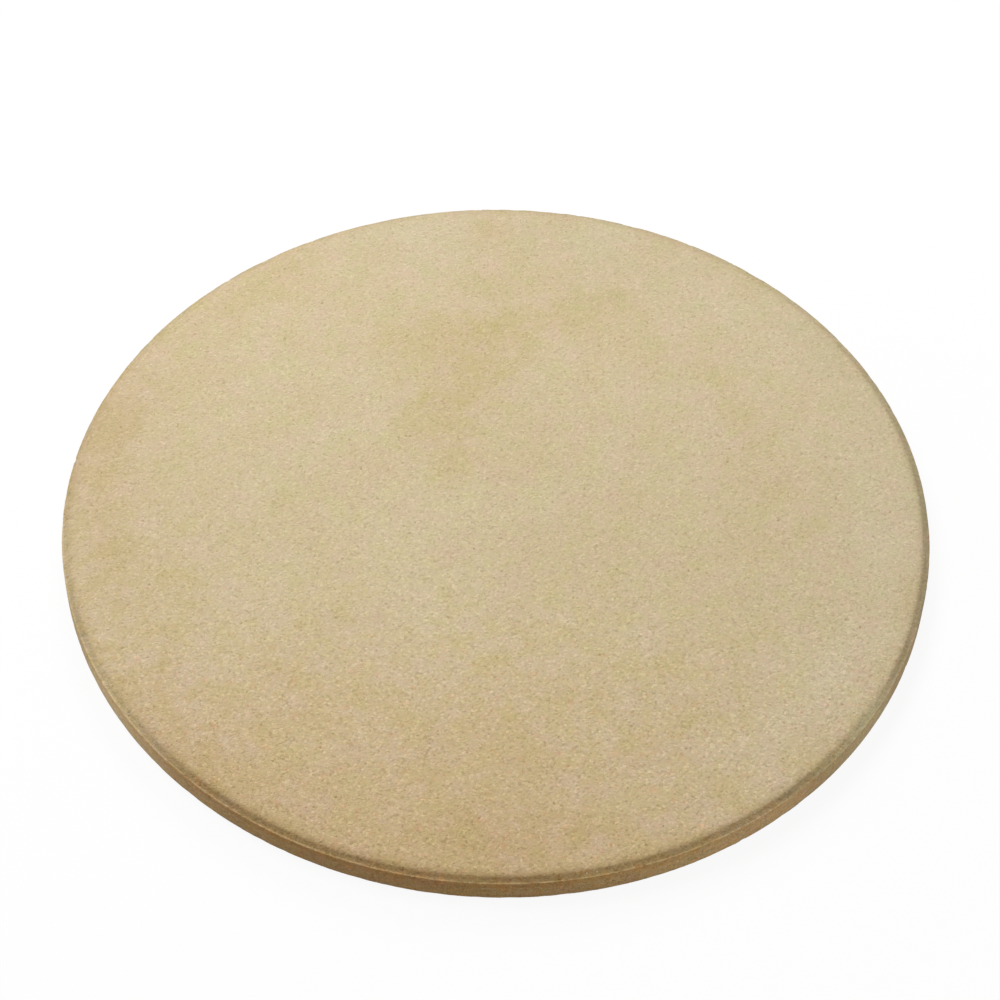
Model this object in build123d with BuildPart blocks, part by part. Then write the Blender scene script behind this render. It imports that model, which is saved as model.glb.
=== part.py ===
from build123d import *
import os

# A round baking stone of pressed and fired cordierite, in millimetres.
# It lies on the plane Z = 0 with its centre on the Z axis, and food is baked on its upper face.

# Overall size
stone_diameter = 381.0
stone_thickness = 12.7

# The rim that the press tools leave, alike on both faces because the two punches are alike.
# Each punch is bevelled with a full, rounded nose, which presses a shallow cove round the face.
# A punch can't end in a feather edge, so it leaves a narrow flat land outside the cove.
cove_width = 2.3
cove_height = 1.0
cove_radius = 6.0
land_width = 0.6

# The punch's polished edge leaves a soft turn from the face into the cove.
face_turn_radius = 2.0
# The sharp corner between land and wall is rubbed down before firing.
rubbed_corner_radius = 0.25

wall_radius = stone_diameter / 2
land_inner_radius = wall_radius - land_width
face_radius = land_inner_radius - cove_width
half_thickness = stone_thickness / 2
land_level = half_thickness - cove_height

# An upright plane through the axis, with its own origin at mid thickness
section_plane = Plane(origin=(0, 0, half_thickness), x_dir=(1, 0, 0), z_dir=(0, -1, 0))

with BuildPart() as stone_disc:
    # The upper half of the section is drawn from the axis out, then mirrored about mid thickness.
    with BuildSketch(section_plane) as section:
        with BuildLine():
            Polyline((0, 0), (0, half_thickness), (face_radius, half_thickness))
            # The cove is hollow, so its radius is given as negative.
            RadiusArc((face_radius, half_thickness), (land_inner_radius, land_level), -cove_radius)
            Polyline((land_inner_radius, land_level), (wall_radius, land_level), (wall_radius, 0), (0, 0))
        make_face()
        face_edge = section.vertices().group_by(Axis.Y)[-1].sort_by(Axis.X)[-1]
        fillet(face_edge, radius=face_turn_radius)
        land_corner = section.vertices().group_by(Axis.X)[-1].sort_by(Axis.Y)[-1]
        fillet(land_corner, radius=rubbed_corner_radius)
        mirror(about=Plane.XZ)
    revolve(axis=Axis.Z)

stone_disc.part.label = "stone_disc"

os.makedirs("parts", exist_ok=True)
export_step(stone_disc.part, "parts/stone_disc.step")
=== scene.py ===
import math
import random

import bmesh
import bpy
from mathutils import Euler, Matrix, Vector, noise


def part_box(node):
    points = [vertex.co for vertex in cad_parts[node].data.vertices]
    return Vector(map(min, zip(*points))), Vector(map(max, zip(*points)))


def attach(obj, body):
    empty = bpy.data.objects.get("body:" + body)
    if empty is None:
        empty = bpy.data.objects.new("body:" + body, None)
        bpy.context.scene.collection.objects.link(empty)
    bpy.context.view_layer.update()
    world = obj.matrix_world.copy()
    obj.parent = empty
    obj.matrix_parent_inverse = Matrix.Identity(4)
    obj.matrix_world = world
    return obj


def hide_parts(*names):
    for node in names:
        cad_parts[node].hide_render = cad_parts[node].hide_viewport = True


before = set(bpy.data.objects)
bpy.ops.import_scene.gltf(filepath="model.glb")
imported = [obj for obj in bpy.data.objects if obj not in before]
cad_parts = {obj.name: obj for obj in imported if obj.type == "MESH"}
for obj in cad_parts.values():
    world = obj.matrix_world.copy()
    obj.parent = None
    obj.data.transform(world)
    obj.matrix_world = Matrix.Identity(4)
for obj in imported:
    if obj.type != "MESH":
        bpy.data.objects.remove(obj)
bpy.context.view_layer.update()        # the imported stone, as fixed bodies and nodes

discLow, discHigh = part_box("stone_disc")
wallRadius = (discHigh.x - discLow.x) / 2
thickness = discHigh.z
mm = 0.001
print("frame: a disc of", round(wallRadius * 2 / mm, 1), "mm,",
      round(thickness / mm, 1), "mm thick")


# The camera stands where the photographer stood. Its place is measured from the centre of the
# underside, along the view, across it and up it.
camera = {
    "elevation": math.radians(50.39),
    "distance": 1.2392,
    "across": 0.00098,
    "up": 0.01312,
    "roll": math.radians(1.073),
    "focalLength": 100.8,    # in millimetres, as the sensor's width
    "sensorWidth": 36,
    "nearest": 0.05,
    "furthest": 100,
}


def addCamera(name, choice):
    data = bpy.data.cameras.new(name)
    data.sensor_width = choice["sensorWidth"]
    data.lens = choice["focalLength"]
    data.clip_start = choice["nearest"]
    data.clip_end = choice["furthest"]
    made = bpy.data.objects.new(name, data)
    bpy.context.scene.collection.objects.link(made)
    level = Euler((math.pi / 2 - choice["elevation"], 0, 0)).to_matrix()
    made.location = level @ Vector((choice["across"], choice["up"], choice["distance"]))
    made.rotation_euler = (level @ Euler((0, 0, choice["roll"])).to_matrix()).to_euler()
    bpy.context.scene.camera = made
    print("camera at", [round(value, 3) for value in made.location])


addCamera("photoCamera", camera)


# Shader maths reads as arithmetic: a Wire is one output socket of a material's nodes.
class Wire:
    def __init__(self, tree, socket=None):
        self.tree = tree
        self.socket = socket

    def node(self, kind, settings=None, inputs=None, output=0):
        made = self.tree.nodes.new("ShaderNode" + kind)
        for name, value in (settings or {}).items():
            setattr(made, name, value)
        for name, value in (inputs or {}).items():
            if isinstance(value, Wire):
                self.tree.links.new(value.socket, made.inputs[name])
            else:
                made.inputs[name].default_value = value
        return Wire(self.tree, made.outputs[output]) if made.outputs else None

    def sibling(self, output):
        # another output of the same node
        return Wire(self.tree, self.socket.node.outputs[output])

    def value(self, operation, *others, clamp=False):
        inputs = {place: item for place, item in enumerate((self, *others))}
        return self.node("Math", {"operation": operation, "use_clamp": clamp}, inputs)

    def __add__(self, other):
        return self.value("ADD", other)

    def __radd__(self, other):
        return self.value("ADD", other)

    def __mul__(self, other):
        return self.value("MULTIPLY", other)

    def __rmul__(self, other):
        return self.value("MULTIPLY", other)

    def __sub__(self, other):
        return self.value("SUBTRACT", other)

    def __rsub__(self, other):
        return self.value("MULTIPLY", -1) + other

    def step(self, low, high):
        # 0 at low, 1 at high, smooth between them
        settings = {"interpolation_type": "SMOOTHSTEP", "clamp": True}
        return self.node("MapRange", settings, {0: self, 1: low, 2: high, 3: 0.0, 4: 1.0})

    def stepFrom(self, start, edge):
        # the same, over an edge given as two distances from a start
        return self.step(start + edge[0], start + edge[1])

    def tint(self, colour, share, blend="MULTIPLY"):
        # this colour, turned towards another by a share
        settings = {"data_type": "RGBA", "blend_type": blend, "clamp_factor": True}
        return self.node("Mix", settings, {0: share, 6: self, 7: colour}, output=2)

    def scaled(self, factor):
        # a vector or a colour, times a number
        return self.node("VectorMath", {"operation": "SCALE"}, {0: self, "Scale": factor})

    def times(self, factors):
        # the same, times a number for each of its three parts
        return self.node("VectorMath", {"operation": "MULTIPLY"}, {0: self, 1: factors})

    def length(self):
        return self.node("VectorMath", {"operation": "LENGTH"}, {0: self}, output=1)

    def shaded(self, amount, tone):
        # this colour, made paler by an amount that counts differently in red, green and blue
        inputs = {0: amount, 1: tone, 2: (1, 1, 1)}
        return self.times(self.node("VectorMath", {"operation": "MULTIPLY_ADD"}, inputs))


def newMaterial(name):
    made = bpy.data.materials.new(name)
    made.use_nodes = True
    made.node_tree.nodes.clear()
    return made, Wire(made.node_tree)


def rgb(red, green, blue):
    # a colour given on a 0 to 255 scale, as the shader's linear colour
    def linear(level):
        level = level / 255
        return level / 12.92 if level < 0.04045 else ((level + 0.055) / 1.055) ** 2.4
    return (linear(red), linear(green), linear(blue), 1.0)


# The disc: its rim as the press tools leave it, and the rings of points that carry its relief.
disc = {
    "coveWidth": 2.3 * mm,
    "coveHeight": 1.0 * mm,
    "coveRadius": 6.0 * mm,
    "landWidth": 0.6 * mm,
    "faceTurn": 2.0 * mm,
    "rubbedCorner": 0.25 * mm,
    "rimPoints": 1920,          # round the rim
    "turnRows": 3,
    "coveRows": 4,
    "cornerRows": 2,
    "wallRows": 4,              # in half the wall
    "mergeWithin": 0.01 * mm,   # where the two halves meet
    # bands of a face, from the middle outwards: points round, inner and outer share, rings
    "topBands": ((30, 0.010, 0.03, 2), (60, 0.045, 0.09, 4), (120, 0.11, 0.23, 8),
                 (240, 0.245, 0.50, 15), (480, 0.515, 0.985, 31), (960, 0.992, 0.996, 1)),
    "underBands": ((30, 0.03, 0.08, 2), (60, 0.11, 0.20, 4), (120, 0.23, 0.44, 7),
                   (240, 0.47, 0.90, 14), (480, 0.92, 0.985, 4), (960, 0.992, 0.996, 1)),
}
landRadius = wallRadius - disc["landWidth"]
faceRadius = landRadius - disc["coveWidth"]
landHeight = thickness - disc["coveHeight"]


def coveRings(choice):
    # radius and height down the turn and the cove, whose two arcs touch without a corner
    width, depth = choice["coveWidth"], choice["coveHeight"]
    hollow, turn = choice["coveRadius"], choice["faceTurn"]
    chord = math.hypot(width, depth)
    reach = math.sqrt(hollow ** 2 - (chord / 2) ** 2)
    across = faceRadius + width / 2 + reach * depth / chord
    up = thickness - depth / 2 + reach * width / chord
    start = across - math.sqrt((hollow + turn) ** 2 - (up - thickness + turn) ** 2)
    steep = math.atan2(across - start, up - thickness + turn)
    slight = math.atan2(across - landRadius, up - landHeight)
    rings = []
    for row in range(choice["turnRows"]):
        slope = steep * row / choice["turnRows"]
        rings.append((start + turn * math.sin(slope), thickness - turn * (1 - math.cos(slope))))
    for row in range(choice["coveRows"] + 1):
        slope = steep + (slight - steep) * row / choice["coveRows"]
        rings.append((across - hollow * math.sin(slope), up - hollow * math.cos(slope)))
    return rings


def halfRings(bands, choice):
    # from the middle of a face, over its cove and land, to the middle of the wall
    corner = choice["rubbedCorner"]
    count = choice["rimPoints"]
    cove = coveRings(choice)
    rings = []
    for points, inner, outer, number in bands:
        for ring in range(number):
            share = inner + (outer - inner) * ring / max(number - 1, 1)
            rings.append((points, cove[0][0] * share, thickness))
    rings += [(count, radius, height) for radius, height in cove]
    rows = choice["cornerRows"]
    for turn in [math.pi / 2 * row / rows for row in range(rows + 1)]:
        rings.append((count, wallRadius - corner * (1 - math.sin(turn)),
                      landHeight - corner * (1 - math.cos(turn))))
    wallTop = landHeight - corner
    rows = choice["wallRows"]
    for row in range(rows):
        rings.append((count, wallRadius, wallTop + (thickness / 2 - wallTop) * (row + 1) / rows))
    return rings


def growHalf(rings):
    # each ring is pulled out of the one before it, with twice the points where a band ends
    bm = bmesh.new()
    count, radius, height = rings[0]
    bmesh.ops.create_circle(bm, cap_ends=True, cap_tris=True, segments=count, radius=radius,
                            matrix=Matrix.Translation((0, 0, height)))
    loop = [edge for edge in bm.edges if edge.is_boundary]
    for nextCount, nextRadius, nextHeight in rings[1:]:
        if nextCount > count:
            bmesh.ops.subdivide_edges(bm, edges=loop, cuts=1)
            loop = [edge for edge in bm.edges if edge.is_boundary]
            for point in {point for edge in loop for point in edge.verts}:
                point.co.xy *= radius / point.co.xy.length
        grown = bmesh.ops.extrude_edge_only(bm, edges=loop)["geom"]
        points = {item for item in grown if isinstance(item, bmesh.types.BMVert)}
        loop = [item for item in grown if isinstance(item, bmesh.types.BMEdge)
                and points.issuperset(item.verts)]
        spread = nextRadius / radius
        bmesh.ops.scale(bm, vec=(spread, spread, 1), verts=list(points))
        bmesh.ops.translate(bm, vec=(0, 0, nextHeight - height), verts=list(points))
        count, radius, height = nextCount, nextRadius, nextHeight
    return bm


# What pressing, firing and handling did to that shape. Every change goes into the stone, never out.
relief = {
    "seed": 7,
    "lobing": 0.58 * mm,         # the kiln left the outline a little out of round, in lobes
    "lobes": 3,
    "lobeTurn": math.radians(51.4),
    "lobeStart": 0.4,            # of the face's radius, where the lobes set in
    "lobeRoom": 8 * mm,          # inside the face's edge, where they are whole
    "blend": 1.5 * mm,           # over which the unevenness of face and rim sets in
    "sway": 0.05 * mm,           # broad unevenness of the faces
    "swaySize": 46 * mm,
    "ripple": 0.025 * mm,        # and a finer one
    "rippleSize": 9 * mm,
    "roll": 0.20 * mm,           # how far a face falls towards its rim
    "rollWidth": 6 * mm,
    "rimRoughness": 0.07 * mm,
    "rimGrain": 2.4 * mm,
    "finerRoughness": 0.5,       # as a share of the rim's roughness
    "finerGrain": 0.45,          # and of its grain
    "streak": 0.05 * mm,         # level drag marks that the die left on the wall
    "streakSize": 1.3 * mm,
    "streakSqueeze": 0.12,       # the smaller, the longer they run round
    "landWander": 0.24 * mm,     # the inner edge of the land wanders in and out
    "wanderSize": 11 * mm,
    "wanderStart": 0.9 * mm,     # outside the face's edge
    "landWear": 0.16 * mm,       # and its outer edge is rubbed down here and there
    "wearSize": 7 * mm,
    "wearEdge": (0.45, 0.8),     # of its noise: no wear below the first, all of it above the second
    "wearReach": 0.8 * mm,       # down the wall
    "wearInwards": 0.8,          # as a share of how far it goes down
    "chips": 60,
    "lowChips": 0.3,             # their share along the lower land
    "chipWidth": (0.7 * mm, 2.4 * mm),
    "chipNarrowing": (0.6, 1),
    "chipDepth": (0.07 * mm, 0.26 * mm),
    "chipDeepest": 0.4,          # of its width
    "chipInset": 0.5 * mm,
    "chipFloor": 0.25,           # the share of its width that is at full depth
    "chipDrop": 0.7,             # how far it goes down as well, as a share of its depth
}


def smoothStep(low, high, value):
    share = min(max((value - low) / (high - low), 0), 1)
    return share * share * (3 - 2 * share)


def wavy(place, size, shift):
    # a soft random height from 0 to 1, the same at the same place; each shift is another pattern
    return 0.5 + 0.5 * noise.noise(place / size + Vector((shift, 2.7 * shift, -shift)))


def outOfRound(turn, choice):
    # how far the outline lies inside the true circle
    return choice["lobing"] * (1 - math.cos(choice["lobes"] * (turn - choice["lobeTurn"])))


def addRelief(bm, choice):
    dice = random.Random(choice["seed"])
    chips = []
    for number in range(choice["chips"]):
        turn = dice.uniform(0, 2 * math.pi)
        width = dice.uniform(*choice["chipWidth"]) * dice.uniform(*choice["chipNarrowing"])
        depth = min(dice.uniform(*choice["chipDepth"]), width * choice["chipDeepest"])
        level = thickness - landHeight if dice.random() < choice["lowChips"] else landHeight
        reach = wallRadius - dice.uniform(0, choice["chipInset"]) - outOfRound(turn, choice)
        place = Vector((reach * math.cos(turn), reach * math.sin(turn), level))
        chips.append((place, width, depth))
    middle = thickness / 2
    landLevel = landHeight - middle
    blend = choice["blend"]
    squeeze = choice["streakSqueeze"]
    for point in bm.verts:
        place = point.co.copy()
        radius = place.xy.length
        side = 1 if place.z > middle else -1
        level = abs(place.z - middle)
        outward = place.xy / max(radius, mm)
        onFace = smoothStep(landLevel - blend, landLevel, level)
        onRim = smoothStep(faceRadius - blend, faceRadius, radius)
        onWall = smoothStep(landRadius, wallRadius, radius)
        sink = choice["sway"] * wavy(place, choice["swaySize"], 3.1)
        sink += choice["ripple"] * wavy(place, choice["rippleSize"], 8.4)
        fall = min(max((radius - faceRadius + choice["rollWidth"]) / choice["rollWidth"], 0), 1)
        sink += choice["roll"] * fall * fall
        rough = choice["rimRoughness"] * wavy(place, choice["rimGrain"], 5.5) * onRim
        finer = wavy(place, choice["rimGrain"] * choice["finerGrain"], 1.5)
        rough += choice["finerRoughness"] * choice["rimRoughness"] * finer * onRim
        sink += rough
        squeezed = Vector((place.x * squeeze, place.y * squeeze, place.z))
        pull = rough * onRim + choice["streak"] * wavy(squeezed, choice["streakSize"], 4.4) * onWall
        facing = Vector((place.x, place.y, side * thickness))
        wander = wavy(facing, choice["wanderSize"], 6.2) - 0.5
        atLand = smoothStep(faceRadius + choice["wanderStart"], landRadius, radius) * (1 - onWall)
        pull += choice["landWander"] * 2 * wander * atLand
        wearAndShade = wavy(Vector((place.x, place.y, side)), choice["wearSize"], 9.3)
        atCorner = onWall * smoothStep(landLevel - choice["wearReach"], landLevel, level)
        wear = choice["landWear"] * smoothStep(*choice["wearEdge"], wearAndShade) * atCorner
        sink += wear
        pull += wear * choice["wearInwards"]
        lobeStart = choice["lobeStart"] * faceRadius
        lobed = smoothStep(lobeStart, faceRadius - choice["lobeRoom"], radius)
        pull += outOfRound(math.atan2(place.y, place.x), choice) * lobed
        point.co.z -= side * sink * onFace
        point.co.xy -= outward * pull
    rim = [point for point in bm.verts if point.co.xy.length > faceRadius - mm]
    for place, width, depth in chips:
        for point in rim:
            away = point.co - place
            if abs(away.x) < width and abs(away.y) < width and away.length < width:
                dent = depth * (1 - smoothStep(choice["chipFloor"] * width, width, away.length))
                side = 1 if place.z > middle else -1
                point.co.xy -= point.co.xy.normalized() * dent
                point.co.z -= side * dent * choice["chipDrop"]
    print("relief:", len(chips), "chips along the lands")


# The stone's body: sand-coloured cordierite with grog, iron specks and pale glints, which are
# painted highlights. Sizes and places are in millimetres, x to the right and y to the back. A noise
# has its size, detail and roughness. Something sets in between the two values of its edge, or
# between its two places.
cordierite = {
    "body": rgb(208, 191, 155),
    "warmBody": rgb(204, 185, 144),
    "warmNoise": (34.0, 4.0, 0.62),
    "warmEdge": (0.36, 0.66),
    "warmShare": 0.6,
    "hueNoise": (15.0, 6.0, 0.85),
    "hueTone": (0.53, -0.44, 1.29),    # one way of the drift is pinkish, the other greenish
    "hueDrift": 0.41,
    "blush": (1.05, 0.93, 0.92, 1.0),  # of the small reddish blotches at the front
    "blushNoise": (3.4, 2.0, 0.6),
    "blushEdge": (0.54, 0.74),
    "blushY": (-10, -110),
    "grainSize": 1.0,
    "grainContrast": 0.465,
    "sandSize": 0.55,
    "sandContrast": 0.07,
    "fineNoise": (2.0, 3.0, 0.85),
    "fineContrast": 0.26,
    "grainTone": (0.90, 1.0, 1.2),     # a pale grain is greyer as well, a dark one warmer
    "calm": 0.65,                # how far the grains show in the middle
    "frontGrain": 0.15,          # what the front adds to that
    "frontGrainY": (-10, -130),
    "grainFade": 0.0012,         # what each millimetre towards the back takes away
    "ironTint": (0.87, 0.825, 0.765, 1.0),
    "ironShare": 0.02,           # of the grains
    "rustTint": (1.0, 0.97, 0.945, 1.0),
    "rustShare": 0.08,
    # painted highlights: pale glints on a few grains
    "glint": rgb(240, 231, 212),
    "glintShare": 0.004,
    "glintEdge": (0.42, 0.2),    # from the middle of its grain
    "glintStrength": 0.6,
    "upperShare": (0.6, 0.75),   # of the thickness: the upper face's stains set in here
    "frayNoise": (15.0, 4.0, 0.7),
    "fray": 2.6,
    "stainEdge": (1.6, 0.1),     # in half sizes of the stain
    # the tints of the face, and each one's stains, one of them painted shade: middle, half length,
    # half width, turn in degrees and strength
    "tints": {
        "soaked": (0.95, 0.92, 0.83, 1.0),
        "scorched": (0.945, 0.90, 0.85, 1.0),
        "toasted": (0.965, 0.88, 0.78, 1.0),
        "ashen": (0.945, 0.955, 0.975, 1.0),
        "pale": (1.03, 1.05, 1.10, 1.0),
        "pink": (1.04, 1.01, 1.07, 1.0),
        "clean": (1.03, 1.04, 1.03, 1.0),
    },
    "soaked": (
        (-19, 28, 14, 10, 80, 0.75), (-29, 52, 20, 15, 60, 0.9), (-14, 80, 24, 17, 80, 0.8),
        (0, 105, 24, 18, 50, 0.75), (30, 120, 21, 14, 30, 0.6), (-28, 106, 22, 14, 10, 0.7),
        (-56, 99, 13, 9, 10, 0.35), (-5, 176, 10, 10, 0, 0.6), (-114, 134, 28, 12, 42, 0.6),
        (93, 90, 16, 10, -50, 0.5), (110, 57, 17, 10, -62, 0.5), (131, 14, 24, 13, -80, 0.45),
        (121, -26, 22, 12, 78, 0.3), (78, -102, 26, 12, 40, 0.3), (59, 126, 14, 8, -20, 0.3),
        (-65, -61, 12, 9, 60, 0.35), (-109, -20, 8, 8, 0, 0.25), (-172, -4, 18, 9, 90, 0.4),
        (4, 142, 24, 16, 0, 0.55), (0, 70, 14, 12, 0, 0.4),
    ),
    "clean": ((15, -85, 90, 50, 0, 0.7), (-45, -20, 60, 40, 40, 0.35)),
    # browner patches along the face's edges
    "scorched": (
        (-172, 52, 46, 13, 74, 0.7), (4, -172, 32, 17, 0, 0.85), (-76, -162, 46, 11, -24, 0.5),
        (-133, -118, 46, 14, -47, 0.3), (177, -46, 12, 6, 75, 0.6), (-198, 10, 130, 36, 92, 0.75),
        (-158, 8, 70, 26, 90, 0.35), (-126, -122, 44, 24, -45, 0.45),
    ),
    # a broad browner patch over the front
    "toasted": ((-40, -200, 220, 118, -8, 1.0),),
    # painted shade, cooler and darker, towards the back and right edges
    "ashen": (
        (40, 212, 210, 76, -8, 1.0), (214, 70, 130, 50, 76, 0.6), (150, 100, 30, 14, -55, 0.6),
    ),
    "pale": (
        (143, -82, 40, 9, 53, 0.8), (106, -118, 30, 9, 38, 0.6), (60, -146, 20, 9, 20, 0.4),
        (112, 116, 24, 14, -45, 0.7), (-69, 50, 40, 14, 88, 0.35), (-36, -52, 20, 12, 82, 0.6),
        (-114, -84, 20, 12, -40, 0.5), (-78, -128, 34, 9, -28, 0.5), (-46, 172, 28, 8, 12, 0.5),
        (49, 167, 20, 9, -15, 0.25), (-100, 60, 26, 16, 70, 0.25),
        (166, -14, 46, 14, 85, 0.7), (112, -116, 50, 24, 45, 0.55),
    ),
    "pink": ((98, 141, 14, 9, -40, 0.6), (44, 87, 17, 10, 80, 0.45), (-96, 128, 20, 8, 45, 0.3)),
    # and the rim's painted light and painted shade
    "rimLightAndShade": {
        "dusted": (1.25, 1.36, 1.45, 1.0),
        "sooted": (0.90, 0.90, 0.90, 1.0),
    },
    # painted light on the rim at the front right, front and front left
    "dusted": (
        (154, -112, 24, 30, 54, 0.9), (78, -174, 34, 26, 25, 0.3), (-154, -112, 32, 26, -54, 0.4),
    ),
    # painted shade on the rim at the right and front left
    "sooted": ((190, -30, 46, 20, 90, 0.9), (-180, -67, 17, 22, -70, 1.0)),
    # painted shade towards the face's edge, browner at the front
    "edgeShadeTint": (0.87, 0.82, 0.74, 1.0),
    "edgeWidth": (-5, -0.5),     # from the face's edge
    "edgeShare": 0.25,
    "edgeFront": 0.65,           # what the front adds to that
    "frontY": (-80, -188),
    # painted shade in the cove, the recess between face and land
    "coveShadeTint": (0.71, 0.70, 0.67, 1.0),
    "coveWidth": (-2.2, 1.1),    # from the face's edge
    "coveShort": 0.4,            # it ends this far before a land that stands out
    "coveFurther": 0.9,          # and this much further out elsewhere
    "coveFade": 0.5,
    "landX": (150, 95),          # where the land stands out
    "landY": (60, -20),
    "coveLitX": (-120, -170),     # where light lifts the cove's painted shade: at the left
    "coveLitY": (60, 140),        # and at the back
    "coveLitMore": 1.5,
    "coveLitShare": 0.55,
    "rimEdge": (-0.9, 0.5),      # from the face's edge
    "rimTint": (0.97, 0.92, 0.82, 1.0),
    "rimShare": 0.1,
    "rimFront": 0.9,             # what the front adds to that
    "rimSqueeze": (1, 1, 2.0),
    "blotchNoise": (1.9, 3.0, 0.7),
    "cloudNoise": (4.37, 2.0, 0.6),
    "rimBrown": (0.84, 0.76, 0.65, 1.0),
    "brownEdge": (0.50, 0.66),
    "rimGrey": (0.92, 0.965, 1.02, 1.0),
    "greyEdge": (0.52, 0.66),
    "rimOrange": (1.08, 0.965, 0.84, 1.0),
    "orangeEdge": (0.46, 0.34),
    "streakWidth": 0.55,
    "streakLength": 20.0,
    "streakNoise": (1.0, 2.0, 0.6),    # in those widths and lengths
    "streakDark": (0.91, 0.89, 0.86, 1.0),
    "darkEdge": (0.53, 0.66),
    "streakPale": (1.07, 1.075, 1.08, 1.0),
    "paleEdge": (0.45, 0.34),
    "landWidth": (-0.45, -0.10),       # from the land's inner edge
    "landDepth": (-0.35, -0.05),       # and from its level
    "breakNoise": (9.0, 3.0, 0.7),
    "breakEdge": (0.42, 0.60),
    # a painted highlight on the land where it catches the light, and painted shade on it at the
    # right
    "landHighlight": (1.07, 1.07, 1.07, 1.0),
    "landShade": (0.82, 0.81, 0.78, 1.0),
    "landShadeX": (-20, 90),
    "spared": 0.7,               # how far the painted shade leaves out the pale stretches
    "dome": 0.15,
    "fineHeight": 0.9,
    "gritNoise": (1.0, 1.0, 0.6),
    "gritHeight": 0.5,
    "bumpHeight": 0.0004,        # metres
    "roughness": 0.86,
    "roughnessSpread": 0.2,
    "specular": 0.35,
}


def cordieriteMaterial(choice):
    material, wire = newMaterial("cordierite")
    place = wire.node("TexCoord", output=3).scaled(1 / mm)
    flat = place.times((1, 1, 0))
    across = wire.node("SeparateXYZ", None, {0: place})
    along = across.sibling(1)
    height = across.sibling(2)
    # the distance from the axis, as it was before the outline went out of round
    lobes = (along.value("ARCTAN2", across) - relief["lobeTurn"]) * relief["lobes"]
    fromAxis = flat.length() + (1 - lobes.value("COSINE")) * (relief["lobing"] / mm)
    low, high = choice["upperShare"]
    upper = height.step(thickness / mm * low, thickness / mm * high)
    faceEdge = faceRadius / mm
    landEdge = landRadius / mm
    onRim = fromAxis.stepFrom(faceEdge, choice["rimEdge"])

    def speckle(noiseKind, where=place):
        size, detail, rough = noiseKind
        sockets = {"Vector": where, "Scale": 1 / size, "Detail": detail, "Roughness": rough}
        return wire.node("TexNoise", None, sockets)

    # the body, a little warmer in broad patches, drifting between pinkish and greenish
    warm = speckle(choice["warmNoise"]).step(*choice["warmEdge"]) * choice["warmShare"]
    inputs = {0: warm, 6: choice["body"], 7: choice["warmBody"]}
    colour = wire.node("Mix", {"data_type": "RGBA"}, inputs, output=2)
    drift = (speckle(choice["hueNoise"]) - 0.5) * choice["hueDrift"]
    colour = colour.shaded(drift, choice["hueTone"])
    blush = speckle(choice["blushNoise"]).step(*choice["blushEdge"]) * along.step(*choice["blushY"])
    colour = colour.tint(choice["blush"], blush)

    # stains and painted shade on the upper face, with edges that a slow noise frays
    fray = (speckle(choice["frayNoise"]) - 0.5) * choice["fray"]

    def stained(colour, tints, where):
        for kind, tint in tints.items():
            for middleX, middleY, reach, width, turn, strength in choice[kind]:
                sockets = {"Vector": flat, "Location": (middleX, middleY, 0),
                           "Rotation": (0, 0, math.radians(turn)), "Scale": (reach, width, 1)}
                away = wire.node("Mapping", {"vector_type": "TEXTURE"}, sockets).length()
                share = (away + fray).step(*choice["stainEdge"]) * where * strength
                colour = colour.tint(tint, share)
        return colour

    colour = stained(colour, choice["tints"], upper)

    # painted shade: towards the rim the skin is painted darker, and browner at the front
    front = along.step(*choice["frontY"])
    atEdge = fromAxis.stepFrom(faceEdge, choice["edgeWidth"])
    share = front * choice["edgeFront"] + choice["edgeShare"]
    colour = colour.tint(choice["edgeShadeTint"], atEdge * share)

    # painted shade makes the cove the darkest, up to the land, but less where light reaches it
    lit = across.step(*choice["landX"]) * along.step(*choice["landY"])
    coveEnd = landEdge - choice["coveShort"] + (1 - lit) * choice["coveFurther"]
    onCove = fromAxis.stepFrom(faceEdge, choice["coveWidth"])
    onCove = onCove * fromAxis.step(coveEnd + choice["coveFade"], coveEnd)
    behind = along.step(*choice["coveLitY"]) * choice["coveLitMore"]
    coveLit = across.step(*choice["coveLitX"]).value("MAXIMUM", behind, clamp=True)
    colour = colour.tint(choice["coveShadeTint"], onCove * (1 - coveLit * choice["coveLitShare"]))

    # blotches on the rim, wider than they are high, and its painted light and painted shade
    squeezed = place.times(choice["rimSqueeze"])
    blotch = speckle(choice["blotchNoise"], squeezed)
    cloud = speckle(choice["cloudNoise"], squeezed)
    brown = onRim * (front * choice["rimFront"] + choice["rimShare"])
    colour = colour.tint(choice["rimTint"], brown)
    colour = colour.tint(choice["rimBrown"], blotch.step(*choice["brownEdge"]) * brown)
    colour = colour.tint(choice["rimGrey"], cloud.step(*choice["greyEdge"]) * onRim)
    colour = colour.tint(choice["rimOrange"], cloud.step(*choice["orangeEdge"]) * brown)
    colour = stained(colour, choice["rimLightAndShade"], onRim)

    # level streaks round the rim, from the press and from wiping
    level = wire.node("CombineXYZ", None, {2: (fromAxis + height) * (1 / choice["streakWidth"])})
    inputs = {0: flat.scaled(1 / choice["streakLength"]), 1: level}
    streak = speckle(choice["streakNoise"], wire.node("VectorMath", {"operation": "ADD"}, inputs))
    colour = colour.tint(choice["streakDark"], streak.step(*choice["darkEdge"]) * onRim)
    colour = colour.tint(choice["streakPale"], streak.step(*choice["paleEdge"]) * onRim)

    # the land is a broken pale line, with a painted highlight at the front where it catches the
    # light, and painted shade at the right
    onLand = fromAxis.stepFrom(landEdge, choice["landWidth"]) * upper
    onLand = onLand * height.stepFrom(landHeight / mm, choice["landDepth"])
    broken = speckle(choice["breakNoise"]).step(*choice["breakEdge"])
    colour = colour.tint(choice["landHighlight"], onLand * broken * lit)
    wearAndShade = onLand * (1 - broken * choice["spared"]) * across.step(*choice["landShadeX"])
    colour = colour.tint(choice["landShade"], wearAndShade)
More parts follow.
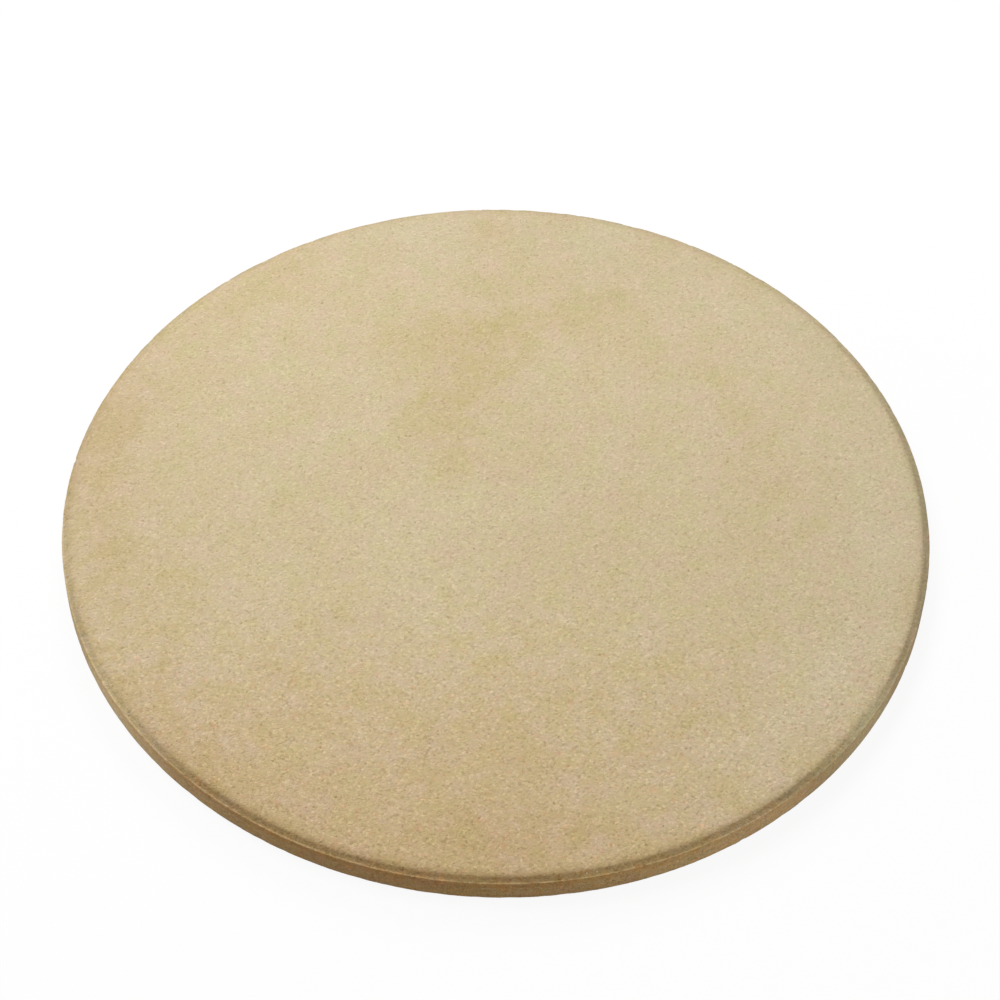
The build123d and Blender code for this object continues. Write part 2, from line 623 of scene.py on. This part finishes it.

    # grog: each grain has its own shade, some are rusty, a few iron-brown, and a few carry a
    # painted glint, a painted highlight
    grains = wire.node("TexVoronoi", None, {"Vector": place, "Scale": 1 / choice["grainSize"]})
    lot = wire.node("SeparateColor", None, {0: grains.sibling(1)})
    sand = wire.node("TexVoronoi", None, {"Vector": place, "Scale": 1 / choice["sandSize"]})
    sand = wire.node("SeparateColor", None, {0: sand.sibling(1)})
    fine = speckle(choice["fineNoise"])
    odd = lot - 0.5
    shade = odd * odd * odd * 4 * choice["grainContrast"]      # most stay close to the body's
    shade = shade + (sand - 0.5) * choice["sandContrast"] + (fine - 0.5) * choice["fineContrast"]
    shade = shade * (along.step(*choice["frontGrainY"]) * choice["frontGrain"] + choice["calm"])
    shade = shade * (along * -choice["grainFade"] + 1)
    colour = colour.shaded(shade, choice["grainTone"])
    kind = lot.sibling(1)
    rust = kind.value("LESS_THAN", choice["rustShare"])
    colour = colour.tint(choice["rustTint"], rust)
    iron = kind.value("GREATER_THAN", 1 - choice["ironShare"])
    colour = colour.tint(choice["ironTint"], iron)
    glint = lot.sibling(2).value("GREATER_THAN", 1 - choice["glintShare"])
    glint = glint * grains.step(*choice["glintEdge"]) * choice["glintStrength"]
    colour = colour.tint(choice["glint"], glint, "MIX")

    # every grain is a low dome, over a finer roughness
    grit = fine * choice["fineHeight"] + speckle(choice["gritNoise"]) * choice["gritHeight"]
    bump = wire.node("Bump", None, {
        "Strength": 1.0,
        "Distance": choice["bumpHeight"],
        "Height": grit - grains * choice["dome"],
    })
    shader = wire.node("BsdfPrincipled", None, {
        "Base Color": colour,
        "Roughness": (fine - 0.5) * choice["roughnessSpread"] + choice["roughness"],
        "Specular IOR Level": choice["specular"],
        "Normal": bump,
    })
    wire.node("OutputMaterial", None, {"Surface": shader})
    return material


def makeDisc(choice):
    mesh = bpy.data.meshes.new("pressedDisc")
    # both halves are grown as the upper one, and the lower one is turned over
    under = growHalf(halfRings(choice["underBands"], choice))
    bmesh.ops.scale(under, vec=(1, 1, -1), verts=under.verts[:])
    bmesh.ops.translate(under, vec=(0, 0, thickness), verts=under.verts[:])
    under.to_mesh(mesh)
    under.free()
    bm = growHalf(halfRings(choice["topBands"], choice))
    bm.from_mesh(mesh)
    bmesh.ops.remove_doubles(bm, verts=bm.verts[:], dist=choice["mergeWithin"])
    bmesh.ops.recalc_face_normals(bm, faces=bm.faces[:])
    addRelief(bm, relief)
    triangles = sum(len(face.verts) - 2 for face in bm.faces)
    gaps = sum(len(edge.link_faces) != 2 for edge in bm.edges)
    print("disc:", triangles, "triangles,", gaps, "open edges")
    for face in bm.faces:
        face.smooth = True
    bm.to_mesh(mesh)
    bm.free()
    made = bpy.data.objects.new("pressedDisc", mesh)
    bpy.context.scene.collection.objects.link(made)
    made.data.materials.append(cordieriteMaterial(cordierite))
    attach(made, "root")
    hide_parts("stone_disc")


makeDisc(disc)


# A pale floor that fades to plain white away from the stone. What it throws back at the stone is
# tan, as a wooden bench under it would.
floor = {
    "radius": 12.0,
    "points": 96,
    "bounce": (0.45, 0.27, 0.135, 1.0),
    "whiteShare": 0.92,
    "fadeFrom": 0.24,
    "fadeTo": 0.60,
}


def lookedAt(wire):
    # 1 where the camera looks, also in a mirror or through glass, and 0 where light comes from
    seen = wire.node("LightPath")
    return seen.value("MAXIMUM", seen.sibling(3)).value("MAXIMUM", seen.sibling(6))


def addFloor(choice):
    bm = bmesh.new()
    bmesh.ops.create_circle(bm, cap_ends=True, segments=choice["points"], radius=choice["radius"])
    mesh = bpy.data.meshes.new("floor")
    bm.to_mesh(mesh)
    bm.free()
    made = bpy.data.objects.new("floor", mesh)
    bpy.context.scene.collection.objects.link(made)
    material, wire = newMaterial("floorWhite")
    looking = lookedAt(wire)
    away = wire.node("TexCoord", output=3).length()
    plain = away.step(choice["fadeFrom"], choice["fadeTo"])
    inputs = {0: looking, 6: choice["bounce"], 7: (1, 1, 1, 1)}
    colour = wire.node("Mix", {"data_type": "RGBA"}, inputs, output=2)
    paint = wire.node("BsdfDiffuse", None, {"Color": colour})
    white = wire.node("Emission", None, {"Color": (1, 1, 1, 1), "Strength": 1.0})
    share = looking * ((1 - plain) * (choice["whiteShare"] - 1) + 1)
    shader = wire.node("MixShader", None, {0: share, 1: paint, 2: white})
    wire.node("OutputMaterial", None, {"Surface": shader})
    made.data.materials.append(material)


addFloor(floor)

# Soft boxes, each with its place, size, strength and colour; all of them look at the stone.
lamps = {
    "behind": {"place": (0.0, 1.39, 0.98), "size": 0.9, "watts": 18.5, "colour": (1, 1, 1)},
    "overhead": {"place": (-0.74, 0.43, 1.47), "size": 0.9, "watts": 14.5, "colour": (1, 1, 1)},
    "left": {"place": (-1.64, -0.23, 0.35), "size": 0.9, "watts": 8.8, "colour": (1, 1, 1)},
    "front": {"place": (1.39, -0.90, 0.35), "size": 0.9, "watts": 10.8, "colour": (1, 0.97, 0.92)},
}
worldLight = 0.08


def addLamps(choice):
    for name, lamp in choice.items():
        data = bpy.data.lights.new(name, "AREA")
        data.shape = "DISK"
        data.size = lamp["size"]
        data.energy = lamp["watts"]
        data.color = lamp["colour"]
        made = bpy.data.objects.new(name, data)
        made.location = lamp["place"]
        made.rotation_euler = (-made.location).to_track_quat("-Z", "Y").to_euler()
        bpy.context.scene.collection.objects.link(made)


def addWorld(level):
    world = bpy.data.worlds.new("studio")
    bpy.context.scene.world = world
    world.use_nodes = True
    world.node_tree.nodes.clear()
    wire = Wire(world.node_tree)
    strength = lookedAt(wire) * (1 - level) + level
    sky = wire.node("Background", None, {"Color": (1, 1, 1, 1), "Strength": strength})
    wire.node("OutputWorld", None, {"Surface": sky})


addLamps(lamps)
addWorld(worldLight)
bpy.context.scene.view_settings.view_transform = "Standard"
print("stage, lamps and world set")
